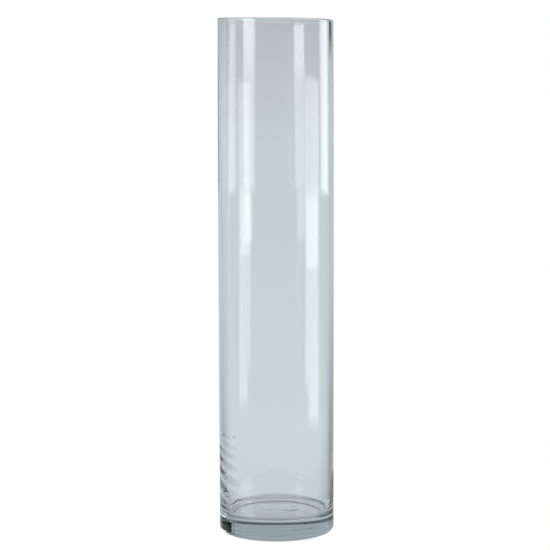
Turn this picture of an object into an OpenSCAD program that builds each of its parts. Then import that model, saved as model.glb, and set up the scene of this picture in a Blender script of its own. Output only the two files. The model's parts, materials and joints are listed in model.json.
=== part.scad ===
// Glass cylinder vase: a tall, straight-sided tube of clear glass on a heavy solid base.
// The glass is one piece; it is drawn as its three regions, which meet face to face:
// the base, the side wall and the rim, which is cut flat and fire-polished at its corners.
// The axis of the cylinder is Z, and the origin is the middle of the circle it stands on.

/* [Cylinder] */
// Outside diameter of the vase
outer_d = 90; // [60:1:150]
// Height from the table to the top of the rim
height = 400; // [150:5:600]
// Thickness of the side wall
wall_t = 3.2; // [2:0.1:6]

/* [Base] */
// Thickness of the solid floor, measured down to the plane it stands on
floor_t = 16.4; // [8:0.2:30]
// Radius of the heel, where the side turns under the base
heel_r = 3.6; // [2:0.1:8]
// Radius of the fillet between the floor and the inside of the wall
inner_fillet_r = 3; // [1:0.1:8]
// Width of the flat ring that the vase stands on
bearing_w = 5.5; // [3:0.5:15]
// Depth of the flat recess inside that ring, and the radius of its rounded edge
recess_depth = 1; // [0.4:0.1:3]

/* [Rim] */
// Height of the rim region, up to its flat top
rim_h = 5; // [4:0.5:12]
// Radius of the polished corners, inside and outside the flat top
lip_r = 1; // [0.4:0.1:1.5]

/* [Hidden] */

outer_r = outer_d / 2;
inner_r = outer_r - wall_t;
base_h = floor_t + inner_fillet_r;        // the base ends where the inside turns straight
wall_top = height - rim_h;
recess_r = outer_r - heel_r - bearing_w;

glass = [0.77, 0.82, 0.85];
$fn = 180;

// A rectangle from the axis out to r and up to h, with its lower outer corner rounded.
module rounded_disc_profile(r, h, corner_r) {
    square([r - corner_r, h]);
    translate([0, corner_r]) square([r, h - corner_r]);
    translate([r - corner_r, corner_r]) circle(r = corner_r);
}

// The recess under the base, flat with a rounded edge.
module recess_profile() {
    square([recess_r - recess_depth, recess_depth]);
    translate([recess_r - recess_depth, 0]) circle(r = recess_depth);
}

module base() {
    color(glass)
        rotate_extrude()
            difference() {
                rounded_disc_profile(outer_r, base_h, heel_r);
                translate([0, floor_t])
                    rounded_disc_profile(inner_r, base_h, inner_fillet_r);
                recess_profile();
            }
}

module wall() {
    color(glass)
        rotate_extrude()
            translate([inner_r, base_h])
                square([wall_t, wall_top - base_h]);
}

module rim() {
    color(glass)
        rotate_extrude()
            translate([inner_r, wall_top]) {
                square([wall_t, rim_h - lip_r]);
                translate([lip_r, 0]) square([wall_t - 2 * lip_r, rim_h]);
                for (corner = [lip_r, wall_t - lip_r])
                    translate([corner, rim_h - lip_r]) circle(r = lip_r);
            }
}

base();
wall();
rim();
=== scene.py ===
"""Looks for the glass cylinder vase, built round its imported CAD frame.

Everything is in metres, Z up, with the vase's axis on Z and the camera on the -Y side.
An azimuth here is an angle round the vase: 0 faces the camera, +90 is +X, -90 is -X.
One continuous glass mesh stands for the three CAD regions (base, wall and rim), because a seam
inside clear glass would show as an edge that the real vase doesn't have.
"""

import json
import math

import bpy
import numpy as np
from mathutils import Euler, Matrix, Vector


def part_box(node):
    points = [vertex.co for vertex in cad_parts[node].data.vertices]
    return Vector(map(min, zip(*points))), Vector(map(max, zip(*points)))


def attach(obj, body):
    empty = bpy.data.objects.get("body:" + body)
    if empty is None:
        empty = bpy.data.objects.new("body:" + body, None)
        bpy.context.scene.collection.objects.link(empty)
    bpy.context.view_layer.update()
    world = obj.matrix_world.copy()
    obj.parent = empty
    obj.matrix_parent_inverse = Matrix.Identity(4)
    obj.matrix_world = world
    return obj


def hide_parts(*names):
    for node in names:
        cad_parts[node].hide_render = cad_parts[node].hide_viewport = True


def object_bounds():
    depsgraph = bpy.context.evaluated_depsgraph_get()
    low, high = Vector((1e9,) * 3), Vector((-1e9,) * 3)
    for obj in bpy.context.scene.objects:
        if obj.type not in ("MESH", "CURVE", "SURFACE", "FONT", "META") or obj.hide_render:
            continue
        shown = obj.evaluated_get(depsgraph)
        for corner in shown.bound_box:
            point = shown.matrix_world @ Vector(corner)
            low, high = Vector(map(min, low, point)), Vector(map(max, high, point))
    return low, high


MM = 0.001

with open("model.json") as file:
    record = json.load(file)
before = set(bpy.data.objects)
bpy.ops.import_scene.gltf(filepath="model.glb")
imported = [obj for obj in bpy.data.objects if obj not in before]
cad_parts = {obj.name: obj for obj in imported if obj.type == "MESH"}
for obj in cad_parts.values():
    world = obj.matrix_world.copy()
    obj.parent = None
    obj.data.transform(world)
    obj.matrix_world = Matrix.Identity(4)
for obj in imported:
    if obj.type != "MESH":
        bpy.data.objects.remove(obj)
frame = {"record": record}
cad_low, cad_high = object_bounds()

# ---------------------------------------------------------------- sizes, from the frame
record = frame["record"]
mouth = next(m for m in record["mounts"] if m["name"] == "mouth")
base_low, base_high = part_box("base")

OUTER_R = cad_high.x
HEIGHT = cad_high.z
INNER_R = mouth["dims"]["r_mm"] * MM
LIP_R = 1.0 * MM
FILLET_TOP = base_high.z
FILLET_R = 3.0 * MM
FLOOR_Z = FILLET_TOP - FILLET_R
HEEL_R = 3.6 * MM
BEARING_W = 5.5 * MM
RECESS_R = OUTER_R - HEEL_R - BEARING_W
RECESS_DEPTH = 1.0 * MM

# ---------------------------------------------------------------- the view
CAMERA_DISTANCE = 1.3965
CAMERA_HEIGHT = 0.3586
CAMERA_PITCH = math.radians(6.395)
CAMERA_ROLL = math.radians(-0.15)
CAMERA_YAW = math.radians(0.036)
SENSOR_MM = 36
LENS_MM = 117.76


def add_camera():
    data = bpy.data.cameras.new("camera")
    data.sensor_width = SENSOR_MM
    data.lens = LENS_MM
    camera = bpy.data.objects.new("camera", data)
    camera.location = (0, -CAMERA_DISTANCE, CAMERA_HEIGHT)
    level = Euler((math.radians(90) - CAMERA_PITCH, 0, CAMERA_YAW)).to_matrix()
    camera.rotation_euler = (level @ Matrix.Rotation(CAMERA_ROLL, 3, "Z")).to_euler()
    bpy.context.scene.collection.objects.link(camera)
    bpy.context.scene.camera = camera


# ---------------------------------------------------------------- the profile of the glass
SEGMENTS = 288
# How far apart the rows of the mesh are, place by place.
WALL_ROW = 7 * MM
RIPPLE_ROW = 0.8 * MM
HEEL_ROW = 2.5 * MM
FLOOR_ROW = 1.6 * MM
UNDER_ROW = 1.5 * MM
SHEAR_ROW = 0.5 * MM
BEARING_ROW = 1.2 * MM
# The rows are close together up to here on the wall, and between these radii under the base.
RIPPLE_TOP = 0.094
SHEAR_ZONE = (8 * MM, 18 * MM)
POLE_R = 1 * MM


def arc(centre_r, centre_z, radius, start, end, steps):
    """Profile points on an arc, from angle start to angle end in degrees, both ends left out."""
    angles = np.radians(np.linspace(start, end, steps + 1))[1:-1]
    return [(centre_r + radius * math.cos(a), centre_z + radius * math.sin(a)) for a in angles]


def straight(start, end, spacing):
    """Profile points from start to end, both kept, with a close point inside each end."""
    start, end = np.array(start), np.array(end)
    length = np.linalg.norm(end - start)
    close = min(0.3 * MM, length / 4) / length
    inner = np.linspace(close, 1 - close, max(2, round(length / spacing)))
    return [tuple(start + (end - start) * t) for t in (0, *inner, 1)]


def under_base(start_r, end_r, spacing):
    """Profile points across the roof of the recess, between two radii."""
    return straight((start_r, RECESS_DEPTH), (end_r, RECESS_DEPTH), spacing)


def outside_profile():
    """(radius, height) from under the base, round the heel and up to the middle of the rim."""
    heel_inner = OUTER_R - HEEL_R
    lip_z = HEIGHT - LIP_R
    recess_flat = RECESS_R - RECESS_DEPTH
    return (
        under_base(POLE_R, SHEAR_ZONE[0], UNDER_ROW)
        + under_base(*SHEAR_ZONE, SHEAR_ROW)[1:]
        + under_base(SHEAR_ZONE[1], recess_flat, UNDER_ROW)[1:]
        + arc(recess_flat, 0, RECESS_DEPTH, 90, 0, 8)
        + straight((RECESS_R, 0), (heel_inner, 0), BEARING_ROW)
        + arc(heel_inner, HEEL_R, HEEL_R, -90, 0, 14)
        + straight((OUTER_R, HEEL_R), (OUTER_R, RIPPLE_TOP), HEEL_ROW)
        + straight((OUTER_R, RIPPLE_TOP), (OUTER_R, lip_z), WALL_ROW)[1:]
        + arc(OUTER_R - LIP_R, lip_z, LIP_R, 0, 90, 8)
        + [(OUTER_R - LIP_R, HEIGHT)]
    )


def inside_profile():
    """(radius, height) from the middle of the rim, down the wall and across the floor."""
    lip_z = HEIGHT - LIP_R
    floor_r = INNER_R - FILLET_R
    return (
        [(INNER_R + LIP_R, HEIGHT)]
        + arc(INNER_R + LIP_R, lip_z, LIP_R, 90, 180, 8)
        + straight((INNER_R, lip_z), (INNER_R, RIPPLE_TOP), WALL_ROW)
        + straight((INNER_R, RIPPLE_TOP), (INNER_R, FILLET_TOP), RIPPLE_ROW)[1:]
        + arc(floor_r, FILLET_TOP, FILLET_R, 0, -90, 12)
        + straight((floor_r, FLOOR_Z), (POLE_R, FLOOR_Z), FLOOR_ROW)
    )


# ---------------------------------------------------------------- how blown glass strays from it
OVAL_AT_RIM = 1.0 * MM
OVAL_LENGTH = 0.060
# Lower down, the wall is oval the other way round by this much.
OVAL_OFFSET = 0.15 * MM
RIM_TILT = -1.0 * MM
RIM_TWIST = 0.35 * MM
WAVE = 0.05 * MM
RIPPLE = 0.32 * MM
RIPPLE_START = 0.083
RIPPLE_SIDE = -80
RIPPLE_WIDTH = 24
RIPPLE_ELSEWHERE = 0.04
# The ripples' spacing where they start, how much it has grown at the base, and their slant, as
# the degrees round the vase in which one ripple comes down by its own spacing.
RIPPLE_SPACING = 5.2 * MM
RIPPLE_GROWTH = 4.0 * MM
RIPPLE_SLANT = 75
FLOOR_WAVE = 0.012 * MM
THICK_EVENLY = 0.3 * MM
THICK_LEFT = 1.8 * MM
THICK_LEFT_WIDTH = 45
THICK_RIGHT = 0.9 * MM
THICK_RIGHT_WIDTH = 40
THICK_LENGTH = 22 * MM
# Folds in the fillet, as (azimuth, width in degrees, depth).
FOLDS = [
    (-141, 5, 0.30 * MM),
    (157, 5, 0.22 * MM),
    (118, 5, 0.40 * MM),
]
BLISTER = 0.08 * MM
BLISTER_R = 3.0 * MM
BLISTER_LINE = 1.3 * MM
# (azimuth, height)
BLISTER_AT = (-156.4, 0.024)
UNDER_WAVE = 0.017 * MM
# Cold scars under the base, as (start, end, width, rise); one with a negative rise hangs down.
SHEAR_MARKS = [
    ((10.5 * MM, 7.0 * MM), (14.3 * MM, 9.0 * MM), 2.5 * MM, -0.60 * MM),
    ((13.3 * MM, 10.0 * MM), (14.0 * MM, 17.0 * MM), 0.7 * MM, 0.20 * MM),
    ((-8.4 * MM, -9.0 * MM), (-7.2 * MM, -8.6 * MM), 0.9 * MM, 0.30 * MM),
]
# Air bubbles shut in the glass, as (azimuth, distance from the axis, height, radius).
SEEDS = [
    (-48, 43.4 * MM, 79.5 * MM, 0.50 * MM),
    (21, 43.5 * MM, 231 * MM, 0.30 * MM),
    (152, 43.3 * MM, 158 * MM, 0.30 * MM),
    (-118, 28 * MM, 9 * MM, 0.40 * MM),
    (64, 22 * MM, 8 * MM, 0.30 * MM),
]
SEED_ROWS = 7
SEED_COLUMNS = 12
SEED_DRAW = 1.5


def fade(x, start, end):
    """0 at start, 1 at end, smooth between and flat beyond."""
    t = np.clip((x - start) / (end - start), 0, 1)
    return t * t * (3 - 2 * t)


def bump(x, centre, width):
    return np.exp(-(((x - centre) / width) ** 2))


def azimuth_from(azimuth, centre):
    """Signed angle from a centre azimuth in degrees, between -180 and 180."""
    return (np.degrees(azimuth) - centre + 180) % 360 - 180


def ovality(azimuth, z):
    """The mouth is slightly oval, more so at the back; the oval dies out down the wall."""
    amount = OVAL_AT_RIM * np.exp(-(HEIGHT - z) / OVAL_LENGTH) - OVAL_OFFSET
    amount = amount * fade(z, 0.02, 0.12)
    return amount * np.cos(2 * azimuth) * (0.70 - 0.30 * np.cos(azimuth))


def rim_height(azimuth, z):
    """The rim was cut a little out of level, and not quite flat."""
    out_of_level = RIM_TILT * np.sin(azimuth) + RIM_TWIST * np.sin(2 * azimuth)
    return fade(z, HEIGHT - 0.030, HEIGHT) * out_of_level


def wall_waves(azimuth, z):
    """Long, faint waves on the inside of the wall."""
    up = z / HEIGHT
    ends = fade(z, FILLET_TOP, FILLET_TOP + 0.02) * fade(z, HEIGHT, HEIGHT - 0.01)
    waves = (
        np.sin(3 * azimuth + 5.1 * up + 0.6)
        + 0.7 * np.sin(5 * azimuth - 7.3 * up + 2.1)
        + 0.5 * np.sin(8 * azimuth + 11.0 * up + 4.0)
    )
    return WAVE * ends * waves


def chill_ripples(azimuth, z):
    """Ridges inside the wall, left as the glass chilled in the mould, strongest on one side."""
    bottom = FILLET_TOP + 1 * MM
    down = np.clip((RIPPLE_START - z) / (RIPPLE_START - bottom), 0, 1)
    turns = (RIPPLE_START - z) / (RIPPLE_SPACING + RIPPLE_GROWTH * down)
    side = bump(azimuth_from(azimuth, RIPPLE_SIDE), 0, RIPPLE_WIDTH) + RIPPLE_ELSEWHERE
    ends = fade(z, RIPPLE_START, RIPPLE_START - 0.02) * fade(z, bottom, bottom + 0.006)
    slant = -azimuth_from(azimuth, -90) / RIPPLE_SLANT
    return RIPPLE * side * ends * (0.45 + 0.55 * down) * np.sin(2 * math.pi * (turns + slant))


def wall_thickening(azimuth, z):
    """The blown wall grows thicker towards the base, mostly on the side of the ripples."""
    above = np.clip(z - FILLET_TOP, 0, None)
    left = THICK_EVENLY + THICK_LEFT * bump(azimuth_from(azimuth, -90), 0, THICK_LEFT_WIDTH)
    left = left * np.exp(-above / THICK_LENGTH)
    right = THICK_RIGHT * bump(azimuth_from(azimuth, 90), 0, THICK_RIGHT_WIDTH)
    right = right * np.exp(-above / (THICK_LENGTH / 2))
    return -(left + right) * fade(z, FILLET_TOP - FILLET_R, FILLET_TOP)


def fillet_folds(azimuth, z):
    """Small folds where the floor turns up into the wall."""
    total = 0
    for centre, width, depth in FOLDS:
        away = azimuth_from(azimuth, centre)
        total = total + depth * bump(away, 0, width) * np.sin(2 * math.pi * away / (1.3 * width))
    return total * bump(z, FILLET_TOP - 1 * MM, 2.5 * MM)


def blister(azimuth, z):
    """A faint raised ring on the inside of the wall, where a gather of glass was folded in."""
    across = np.radians(azimuth_from(azimuth, BLISTER_AT[0])) * INNER_R
    away = np.hypot(across, z - BLISTER_AT[1])
    return -BLISTER * bump(away, BLISTER_R, BLISTER_LINE)


def distance_from_line(x, y, start, end):
    """Distance from (x, y) to the straight line between two points."""
    along = np.array(end) - np.array(start)
    t = np.clip(((x - start[0]) * along[0] + (y - start[1]) * along[1]) / (along @ along), 0, 1)
    return np.hypot(x - start[0] - t * along[0], y - start[1] - t * along[1])


def underside(azimuth, r):
    """Slow waves under the base, and the cold scars left where the glass was sheared off."""
    x, y = r * np.sin(azimuth), -r * np.cos(azimuth)
    broad = np.sin(2 * math.pi * (y / (11 * MM) + 0.35 * np.sin(x / (13 * MM))))
    narrow = np.sin(y / (3.1 * MM) - x / (9 * MM))
    edge = fade(r, RECESS_R - RECESS_DEPTH, RECESS_R - 6 * MM)
    height = UNDER_WAVE * (broad + narrow) * edge
    for start, end, width, rise in SHEAR_MARKS:
        height = height + rise * bump(distance_from_line(x, y, start, end), 0, width)
    return height


def floor_waves(azimuth, r):
    """Faint uneven rings on the floor, which fade out before the fillet."""
    rings = np.sin(2 * math.pi * r / (7.5 * MM) + 1.3 * np.sin(azimuth + 0.5))
    swell = np.sin(2 * azimuth + 1.0) * (r / INNER_R) ** 2
    edge = fade(r, INNER_R - FILLET_R, INNER_R - FILLET_R - 6 * MM)
    return FLOOR_WAVE * edge * (rings + 2 * swell)


# ---------------------------------------------------------------- the mesh
def ring_points(profile, inside):
    """A profile carried round the axis and strayed, as (row, segment, xyz)."""
    azimuths = np.linspace(0, 2 * math.pi, SEGMENTS, endpoint=False)
    points = np.array(profile)
    shape = (len(points), SEGMENTS)
    r, z = (np.broadcast_to(points[:, k, None], shape) for k in (0, 1))
    on_wall = fade(r, INNER_R - FILLET_R, INNER_R - FILLET_R + 0.5 * MM)
    moved_r = r + ovality(azimuths, z) * on_wall
    moved_z = z + rim_height(azimuths, z)
    if inside:
        upright = fade(r, INNER_R - 0.2 * MM, INNER_R)
        ridges = wall_waves(azimuths, z) + chill_ripples(azimuths, z) + blister(azimuths, z)
        moved_r = moved_r + ridges * upright
        moved_r = moved_r + wall_thickening(azimuths, z) + fillet_folds(azimuths, z)
        moved_z = moved_z + np.where(np.isclose(z, FLOOR_Z), floor_waves(azimuths, r), 0)
    else:
        in_recess = np.isclose(z, RECESS_DEPTH) & (r < RECESS_R)
        moved_z = moved_z + np.where(in_recess, underside(azimuths, r), 0)
    return np.stack([moved_r * np.sin(azimuths), -moved_r * np.cos(azimuths), moved_z], axis=-1)


def add_seed(verts, faces, centre, radius):
    """A bubble drawn out up the wall, with its faces turned inwards, out of the glass."""
    first = len(verts)
    tall = SEED_DRAW * radius
    for k in range(1, SEED_ROWS):
        tilt = math.pi * k / SEED_ROWS
        for j in range(SEED_COLUMNS):
            turn = 2 * math.pi * j / SEED_COLUMNS
            side = radius * math.sin(tilt)
            step = (side * math.cos(turn), side * math.sin(turn), tall * math.cos(tilt))
            verts.append([c + d for c, d in zip(centre, step)])
    top, bottom = len(verts), len(verts) + 1
    verts += [[centre[0], centre[1], centre[2] + height] for height in (tall, -tall)]
    last = first + (SEED_ROWS - 2) * SEED_COLUMNS
    for j in range(SEED_COLUMNS):
        after = (j + 1) % SEED_COLUMNS
        for k in range(SEED_ROWS - 2):
            high, low = first + k * SEED_COLUMNS, first + (k + 1) * SEED_COLUMNS
            faces.append((high + j, high + after, low + after, low + j))
        faces.append((top, first + after, first + j))
        faces.append((bottom, last + j, last + after))


def glass_mesh():
    """The whole vase as one closed surface, with a pole under the base and one on the floor, and
    the bubbles shut inside it."""
    rings = np.vstack(
        [ring_points(outside_profile(), inside=False), ring_points(inside_profile(), inside=True)]
    )
    rows = len(rings)
    poles = [(0, 0, RECESS_DEPTH), (0, 0, FLOOR_Z)]
    verts = np.vstack([rings.reshape(-1, 3), poles]).tolist()
    under, floor = rows * SEGMENTS, rows * SEGMENTS + 1

    here = np.arange(SEGMENTS)
    after = (here + 1) % SEGMENTS
    faces = []
    for row in range(rows - 1):
        low, high = row * SEGMENTS, (row + 1) * SEGMENTS
        ring = np.stack([low + here, low + after, high + after, high + here], axis=-1)
        faces += ring.tolist()
    last = (rows - 1) * SEGMENTS
    faces += [(under, int(b), int(a)) for a, b in zip(here, after)]
    faces += [(floor, last + int(a), last + int(b)) for a, b in zip(here, after)]

    for azimuth, r, z, radius in SEEDS:
        turn = math.radians(azimuth)
        add_seed(verts, faces, (r * math.sin(turn), -r * math.cos(turn), z), radius)

    mesh = bpy.data.meshes.new("vase_glass")
    mesh.from_pydata(verts, [], faces)
    mesh.polygons.foreach_set("use_smooth", [True] * len(mesh.polygons))
    mesh.update()
    return mesh


# ---------------------------------------------------------------- shader nodes
def add_node(nodes, kind, **settings):
    node = nodes.new(kind)
    for name, value in settings.items():
        setattr(node, name, value)
    return node


def map_range(nodes, links, value, source, target=(0, 1)):
    """value carried smoothly from the range source to the range target."""
    node = add_node(nodes, "ShaderNodeMapRange", interpolation_type="SMOOTHSTEP")
    for socket, number in zip(("From Min", "From Max", "To Min", "To Max"), (*source, *target)):
        node.inputs[socket].default_value = number
    links.new(value, node.inputs["Value"])
    return node.outputs["Result"]


def combine(nodes, links, operation, first, second=0):
    """One or two values, each a socket or a plain number, put through a maths node."""
    node = add_node(nodes, "ShaderNodeMath", operation=operation)
    for socket, value in zip(node.inputs, (first, second)):
        if isinstance(value, (int, float)):
            socket.default_value = value
        else:
            links.new(value, socket)
    return node.outputs["Value"]


def separate(nodes, links, vector):
    """The X, Y and Z of a vector, by name."""
    node = add_node(nodes, "ShaderNodeSeparateXYZ")
    links.new(vector, node.inputs["Vector"])
    return node.outputs


def noise(nodes, links, position, size, stretch=(1, 1, 1), detail=2):
    """Noise with features of about this size, in metres, drawn out along each axis by stretch."""
    place = add_node(nodes, "ShaderNodeMapping")
    place.inputs["Scale"].default_value = [1 / (size * s) for s in stretch]
    links.new(position, place.inputs["Vector"])
    texture = add_node(nodes, "ShaderNodeTexNoise")
    texture.inputs["Scale"].default_value = 1
    texture.inputs["Detail"].default_value = detail
    links.new(place.outputs["Vector"], texture.inputs["Vector"])
    return texture.outputs["Fac"]


# ---------------------------------------------------------------- the glass material
GLASS_IOR = 1.52
ABSORPTION_COLOUR = (0.75, 0.84, 0.86, 1)
ABSORPTION_DENSITY = 11
TINT_LOW = (0.988, 0.996, 0.997, 1)
TINT_HIGH = (1, 1, 1, 1)
TINT_SIZE = 60 * MM
# Roughness of the clean glass, and what the fillet and the scratches on foot and rim add.
POLISH = (0.0, 0.03)
POLISH_SIZE = 25 * MM
MOULD_HAZE = 0.10
FOOT_SCUFF = 0.35
RIM_SCUFF = 0.08
SCRATCH_SIZE = 0.7 * MM
SURFACE_BUMP = 0.010 * MM
BUMP_SIZE = 9 * MM


def fillet_haze(nodes, links, split):
    """Haze where the floor turns up into the wall, on the inside only."""
    squares = [combine(nodes, links, "MULTIPLY", split[k], split[k]) for k in "XY"]
    across = combine(nodes, links, "SQRT", combine(nodes, links, "ADD", *squares))
    z = split["Z"]
    haze = map_range(nodes, links, z, (FILLET_TOP + 12 * MM, FLOOR_Z), (0, MOULD_HAZE))
    for value, source in (
        (z, (FLOOR_Z - 3 * MM, FLOOR_Z - 1 * MM)),
        (across, (INNER_R - 7 * MM, INNER_R - 4 * MM)),
        (across, (OUTER_R - 0.6 * MM, OUTER_R - 1.2 * MM)),
    ):
        haze = combine(nodes, links, "MULTIPLY", haze, map_range(nodes, links, value, source))
    return haze


def scuffs(nodes, links, position, z):
    """Fine scratches on the ring that the vase stands on, and fainter ones on the rim."""
    grain = noise(nodes, links, position, SCRATCH_SIZE, (4, 1, 1), 3)
    scratches = map_range(nodes, links, grain, (0.45, 0.65))
    on_foot = map_range(nodes, links, z, (0.25 * MM, 0.02 * MM), (0, FOOT_SCUFF))
    on_rim = map_range(nodes, links, z, (HEIGHT - 0.6 * MM, HEIGHT), (0, RIM_SCUFF))
    worn = combine(nodes, links, "ADD", on_foot, on_rim)
    return combine(nodes, links, "MULTIPLY", worn, scratches)


def glass_material():
    """Clear glass that absorbs a little light, uneven in tint and polish, with a fine bump, haze on
    the fillet and scuffs on the foot and the rim."""
    material = bpy.data.materials.new("clear_glass")
    material.use_nodes = True
    nodes, links = material.node_tree.nodes, material.node_tree.links
    shader = nodes["Principled BSDF"]
    shader.inputs["Transmission Weight"].default_value = 1
    shader.inputs["IOR"].default_value = GLASS_IOR
    position = add_node(nodes, "ShaderNodeTexCoord").outputs["Object"]
    split = separate(nodes, links, position)

    tint = add_node(nodes, "ShaderNodeValToRGB")
    tint.color_ramp.elements[0].color = TINT_LOW
    tint.color_ramp.elements[1].color = TINT_HIGH
    links.new(noise(nodes, links, position, TINT_SIZE, (1, 1, 3)), tint.inputs["Fac"])
    links.new(tint.outputs["Color"], shader.inputs["Base Color"])

    polish = noise(nodes, links, position, POLISH_SIZE)
    rough = map_range(nodes, links, polish, (0.3, 0.7), POLISH)
    rough = combine(nodes, links, "ADD", rough, fillet_haze(nodes, links, split))
    rough = combine(nodes, links, "ADD", rough, scuffs(nodes, links, position, split["Z"]))
    links.new(rough, shader.inputs["Roughness"])

    uneven = add_node(nodes, "ShaderNodeBump")
    uneven.inputs["Strength"].default_value = 1
    uneven.inputs["Distance"].default_value = SURFACE_BUMP
    links.new(noise(nodes, links, position, BUMP_SIZE, (1, 1, 2.5)), uneven.inputs["Height"])
    links.new(uneven.outputs["Normal"], shader.inputs["Normal"])

    volume = add_node(nodes, "ShaderNodeVolumeAbsorption")
    volume.inputs["Color"].default_value = ABSORPTION_COLOUR
    volume.inputs["Density"].default_value = ABSORPTION_DENSITY
    links.new(volume.outputs["Volume"], nodes["Material Output"].inputs["Volume"])
    return material


# ---------------------------------------------------------------- the studio
WHITE = (1, 1, 1)
PALE = (0.995, 0.995, 0.995)
COOL = (0.94, 0.99, 1.0)
SHADE = (0.92, 1.0, 1.06)
STUDIO_R = 12
# How far the pale floor and the table under the base lie below the vase's foot.
FLOOR_DROP = 0.2 * MM
TABLE_DROP = 0.1 * MM
# Distances of the cards from the vase's axis.
FAR = 4.0
IN_FRONT_OF_FAR = 3.9
MIDWAY = 2.6
NEAR = 0.70
IN_FRONT_OF_NEAR = 0.69
BEHIND_NEAR = 0.71

# What lies beyond the cards, as (elevation in degrees, colour): behind the vase, and on the
# camera's side, which is pale at the vase's own level and nearly unlit above and below.
SWEEP = [
    (-75, (0.50, 0.54, 0.58)),
    (-50, (0.49, 0.53, 0.57)),
    (-30, (0.48, 0.52, 0.56)),
    (-19, (0.59, 0.65, 0.70)),
    (-11.2, (0.62, 0.685, 0.735)),
    (-6.8, (0.585, 0.655, 0.67)),
    (-2.2, (0.57, 0.625, 0.66)),
    (2.0, (0.465, 0.49, 0.52)),
    (10, (0.42, 0.46, 0.49)),
    (18, (0.31, 0.34, 0.37)),
    (34, (0.22, 0.24, 0.26)),
    (50, (0.13, 0.14, 0.15)),
]
ROOM = [
    (-30, (0.01, 0.01, 0.01)),
    (-26, (0.50, 0.54, 0.58)),
    (-18, (0.60, 0.66, 0.71)),
    (3, (0.55, 0.60, 0.65)),
    (8, (0.03, 0.03, 0.03)),
    (36, (0.02, 0.02, 0.02)),
    (52, (0.13, 0.14, 0.15)),
]
# Where the room turns into the sweep, as the Y of a direction.
ROOM_EDGE = (-0.05, 0.25)
# The table under the vase, as (distance behind the axis in mm, colour): a glowing table with painted
# shade, darker towards the camera's side where the vase shades it.
UNDER_BASE_PAINTED_SHADE = [
    (-30, (0.30, 0.32, 0.34)),
    (-10, (0.50, 0.54, 0.58)),
    (30, (0.66, 0.71, 0.76)),
]


def emitter(name, colour, strength):
    material = bpy.data.materials.new(name)
    material.use_nodes = True
    nodes, links = material.node_tree.nodes, material.node_tree.links
    nodes.remove(nodes["Principled BSDF"])
    light = add_node(nodes, "ShaderNodeEmission")
    light.inputs["Color"].default_value = (*colour, 1)
    light.inputs["Strength"].default_value = strength
    links.new(light.outputs["Emission"], nodes["Material Output"].inputs["Surface"])
    return material


def even(strength):
    """Levels for a card that is equally bright all over."""
    return (strength, strength, 0, 1)


def soft_card_material(name, colour, levels, fades):
    """An emitter that fades to clear at its edges; fades is the width of each fade, as a share of
    the card: (at the first azimuth, at the last azimuth, at the bottom, at the top). Its light
    goes up it from levels[0] to levels[1], between the heights levels[2] and levels[3], as shares."""
    material = emitter(name, colour, levels[0])
    nodes, links = material.node_tree.nodes, material.node_tree.links
    split = separate(nodes, links, add_node(nodes, "ShaderNodeTexCoord").outputs["UV"])
    strength = map_range(nodes, links, split["Y"], levels[2:], levels[:2])
    links.new(strength, nodes["Emission"].inputs["Strength"])
    edges = [
        map_range(nodes, links, split["X"], (0, fades[0])),
        map_range(nodes, links, split["X"], (1, 1 - fades[1])),
        map_range(nodes, links, split["Y"], (0, fades[2])),
        map_range(nodes, links, split["Y"], (1, 1 - fades[3])),
    ]
    mask = edges[0]
    for edge in edges[1:]:
        mask = combine(nodes, links, "MULTIPLY", mask, edge)
    clear = add_node(nodes, "ShaderNodeBsdfTransparent")
    mix = add_node(nodes, "ShaderNodeMixShader")
    links.new(mask, mix.inputs["Fac"])
    links.new(clear.outputs["BSDF"], mix.inputs[1])
    links.new(nodes["Emission"].outputs["Emission"], mix.inputs[2])
    links.new(mix.outputs["Shader"], nodes["Material Output"].inputs["Surface"])
    return material


def stage_object(name, verts, faces, material):
    mesh = bpy.data.meshes.new(name)
    mesh.from_pydata(verts, [], faces)
    mesh.materials.append(material)
    obj = bpy.data.objects.new(name, mesh)
    bpy.context.scene.collection.objects.link(obj)
    return obj


def hide_from_camera(obj):
    """The surface lights the glass and shows in it, but is never in the picture itself."""
    obj.visible_camera = False


def hide_from_glass(obj):
    """The surface is in the picture, but doesn't show in the glass and lights nothing."""
    obj.visible_glossy = False
    obj.visible_transmission = False
    obj.visible_diffuse = False
    obj.visible_shadow = False


def curved_card(name, azimuths, heights, distance, colour, levels, fades):
    """A card bent round the vase at one distance, between two azimuths and two heights."""
    steps = 12
    verts = []
    for azimuth in np.radians(np.linspace(*azimuths, steps + 1)):
        x, y = distance * math.sin(azimuth), -distance * math.cos(azimuth)
        verts += [(x, y, heights[0]), (x, y, heights[1])]
    faces = [(2 * i, 2 * i + 2, 2 * i + 3, 2 * i + 1) for i in range(steps)]
    card = stage_object(name, verts, faces, soft_card_material(name, colour, levels, fades))
    uv = card.data.uv_layers.new(name="across")
    for loop in card.data.loops:
        uv.data[loop.index].uv = (loop.vertex_index // 2 / steps, loop.vertex_index % 2)
    hide_from_camera(card)


def disc(name, radius, z, material):
    steps = 96
    angles = np.linspace(0, 2 * math.pi, steps, endpoint=False)
    verts = [(radius * math.cos(a), radius * math.sin(a), z) for a in angles]
    return stage_object(name, verts, [tuple(range(steps))], material)


def dome(name, radius, material):
    """A closed backdrop far behind everything."""
    rows, columns = 12, 24
    verts = []
    for k in range(rows + 1):
        tilt = math.pi * k / rows
        across, up = radius * math.sin(tilt), radius * math.cos(tilt)
        turns = [2 * math.pi * j / columns for j in range(columns)]
        verts += [(across * math.cos(turn), across * math.sin(turn), up) for turn in turns]
    faces = []
    for k in range(rows):
        here, below = k * columns, (k + 1) * columns
        for j in range(columns):
            after = (j + 1) % columns
            faces.append((here + j, below + j, below + after, here + after))
    return stage_object(name, verts, faces, material)


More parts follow.
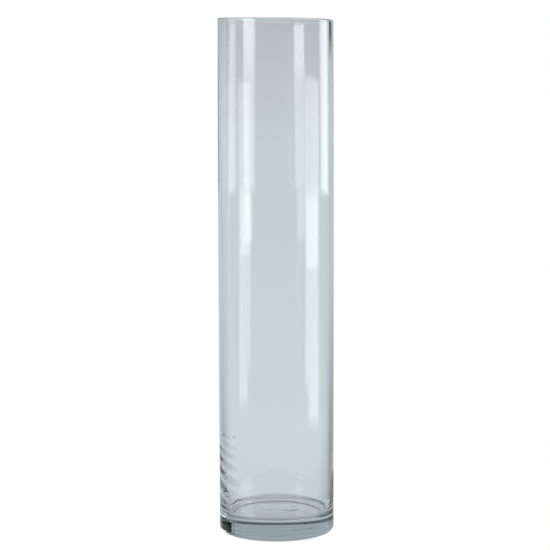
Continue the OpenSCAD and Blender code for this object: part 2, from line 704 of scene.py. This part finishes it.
def colour_ramp(nodes, links, value, stops):
    """A colour for each value from 0 to 1; each stop is (position, colour)."""
    ramp = add_node(nodes, "ShaderNodeValToRGB")
    links.new(value, ramp.inputs["Fac"])
    elements = ramp.color_ramp.elements
    while len(elements) < len(stops):
        elements.new(0.5)
    for element, (position, colour) in zip(elements, stops):
        element.position = position
        element.color = (*colour, 1)
    return ramp.outputs["Color"]


def add_world():
    """What the glass sees beyond the cards: a pale grey sweep behind it, and the room on the
    camera's side."""
    world = bpy.data.worlds.new("studio")
    bpy.context.scene.world = world
    world.use_nodes = True
    nodes, links = world.node_tree.nodes, world.node_tree.links
    direction = separate(nodes, links, add_node(nodes, "ShaderNodeTexCoord").outputs["Generated"])
    half_up = combine(nodes, links, "MULTIPLY", direction["Z"], 0.5)
    height = combine(nodes, links, "ADD", half_up, 0.5)
    mix = add_node(nodes, "ShaderNodeMix", data_type="RGBA")
    links.new(map_range(nodes, links, direction["Y"], ROOM_EDGE), mix.inputs["Factor"])
    colours = [socket for socket in mix.inputs if socket.type == "RGBA"]
    for socket, levels in zip(colours, (ROOM, SWEEP)):
        stops = [(0.5 + 0.5 * math.sin(math.radians(level)), colour) for level, colour in levels]
        links.new(colour_ramp(nodes, links, height, stops), socket)
    mixed = next(socket for socket in mix.outputs if socket.type == "RGBA")
    links.new(mixed, nodes["Background"].inputs["Color"])


def add_table_under_base():
    """The pale table seen down through the solid base, an emitter with painted shade that makes it
    darker on the camera's side.
    """
    material = emitter("table_under_base", WHITE, 1)
    nodes, links = material.node_tree.nodes, material.node_tree.links
    place = separate(nodes, links, add_node(nodes, "ShaderNodeTexCoord").outputs["Object"])
    first, last = UNDER_BASE_PAINTED_SHADE[0][0], UNDER_BASE_PAINTED_SHADE[-1][0]
    along = add_node(nodes, "ShaderNodeMapRange")
    along.inputs["From Min"].default_value = first * MM
    along.inputs["From Max"].default_value = last * MM
    links.new(place["Y"], along.inputs["Value"])
    # The ramp paints the vase's shade onto the table, darkest on the camera's side.
    stops = [((distance - first) / (last - first), colour) for distance, colour in UNDER_BASE_PAINTED_SHADE]
    ramp = colour_ramp(nodes, links, along.outputs["Result"], stops)
    links.new(ramp, nodes["Emission"].inputs["Color"])
    hide_from_camera(disc("table_under_base", OUTER_R - HEEL_R, -TABLE_DROP, material))


def add_softboxes():
    """The lights that show in the glass as tall highlights, in the front wall and the back wall."""
    curved_card(
        "left_softbox",
        azimuths=(-69, -41),
        heights=(0.0, 0.62),
        distance=FAR,
        colour=COOL,
        levels=(2.5, 4.6, 0.48, 0.78),
        fades=(0.1, 0.1, 0.06, 0.03),
    )
    curved_card(
        "left_softbox_foot",
        azimuths=(-68, -47),
        heights=(-0.15, 0.03),
        distance=FAR,
        colour=COOL,
        levels=even(2.1),
        fades=(0.1, 0.1, 0.08, 0.2),
    )
    curved_card(
        "right_softbox",
        azimuths=(66, 94),
        heights=(-0.055, 0.358),
        distance=NEAR,
        colour=COOL,
        levels=even(2.5),
        fades=(0.1, 0.12, 0.07, 0.03),
    )
    curved_card(
        "right_softbox_edge",
        azimuths=(58, 71),
        heights=(-0.025, 0.358),
        distance=BEHIND_NEAR,
        colour=COOL,
        levels=even(2.5),
        fades=(0.2, 0.1, 0.14, 0.03),
    )
    curved_card(
        "right_glow",
        azimuths=(60, 92),
        heights=(0.135, 0.24),
        distance=IN_FRONT_OF_NEAR,
        colour=COOL,
        levels=even(3.9),
        fades=(0.1, 0.1, 0.1, 0.3),
    )
    curved_card(
        "side_softbox",
        azimuths=(100, 129),
        heights=(-0.01, 0.57),
        distance=FAR,
        colour=COOL,
        levels=even(2.6),
        fades=(0.1, 0.1, 0.03, 0.02),
    )


def add_flags():
    """Dark cards. The first shows as the dark line down the right edge from the rim, and the
    others darken the patch at the left of the base."""
    curved_card(
        "line_flag",
        azimuths=(139, 155),
        heights=(0.38, 0.60),
        distance=MIDWAY,
        colour=WHITE,
        levels=even(0),
        fades=(0.1, 0.4, 0.41, 0.1),
    )
    curved_card(
        "base_flag",
        azimuths=(100, 138.5),
        heights=(0.58, 3.0),
        distance=FAR,
        colour=WHITE,
        levels=even(0),
        fades=(0.03, 0.01, 0.04, 0.2),
    )
    curved_card(
        "corner_flag",
        azimuths=(-122, -92),
        heights=(-3.4, -0.88),
        distance=FAR,
        colour=WHITE,
        levels=even(0),
        fades=(0.1, 0.1, 0.05, 0.05),
    )
    curved_card(
        "grey_flag",
        azimuths=(-150, -112),
        heights=(-1.9, -0.66),
        distance=IN_FRONT_OF_FAR,
        colour=SHADE,
        levels=(0.36, 0.03, 0.5, 0.9),
        fades=(0.3, 0.3, 0.4, 0.2),
    )


def add_shades():
    """Grey cards behind the vase on both sides, which darken the edges of the wall."""
    curved_card(
        "right_shade",
        azimuths=(128, 174),
        heights=(-1.4, 0.26),
        distance=FAR,
        colour=SHADE,
        levels=(0.32, 0.57, 0.30, 0.78),
        fades=(0.08, 0.4, 0.1, 0.1),
    )
    curved_card(
        "left_shade",
        azimuths=(-172, -122),
        heights=(-1.4, 0.20),
        distance=FAR,
        colour=SHADE,
        levels=(0.46, 0.58, 0.40, 0.70),
        fades=(0.4, 0.1, 0.1, 0.12),
    )


def build_studio():
    """What lights the glass, and the pale surroundings that only the camera sees."""
    add_softboxes()
    add_flags()
    add_shades()
    hide_from_glass(disc("floor", STUDIO_R, -FLOOR_DROP, emitter("pale_floor", PALE, 1)))
    hide_from_glass(dome("backdrop", STUDIO_R, emitter("pale_backdrop", PALE, 1)))
    add_table_under_base()
    add_world()


def set_look():
    scene = bpy.context.scene
    scene.view_settings.view_transform = "Standard"
    scene.cycles.use_denoising = True
    scene.cycles.use_adaptive_sampling = False
    scene.cycles.max_bounces = 32
    scene.cycles.transmission_bounces = 32
    scene.cycles.glossy_bounces = 16


# ---------------------------------------------------------------- building
add_camera()

vase = bpy.data.objects.new("vase_glass", glass_mesh())
bpy.context.scene.collection.objects.link(vase)
vase.data.materials.append(glass_material())
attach(vase, "root")
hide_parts("base", "wall", "rim")

build_studio()
set_look()
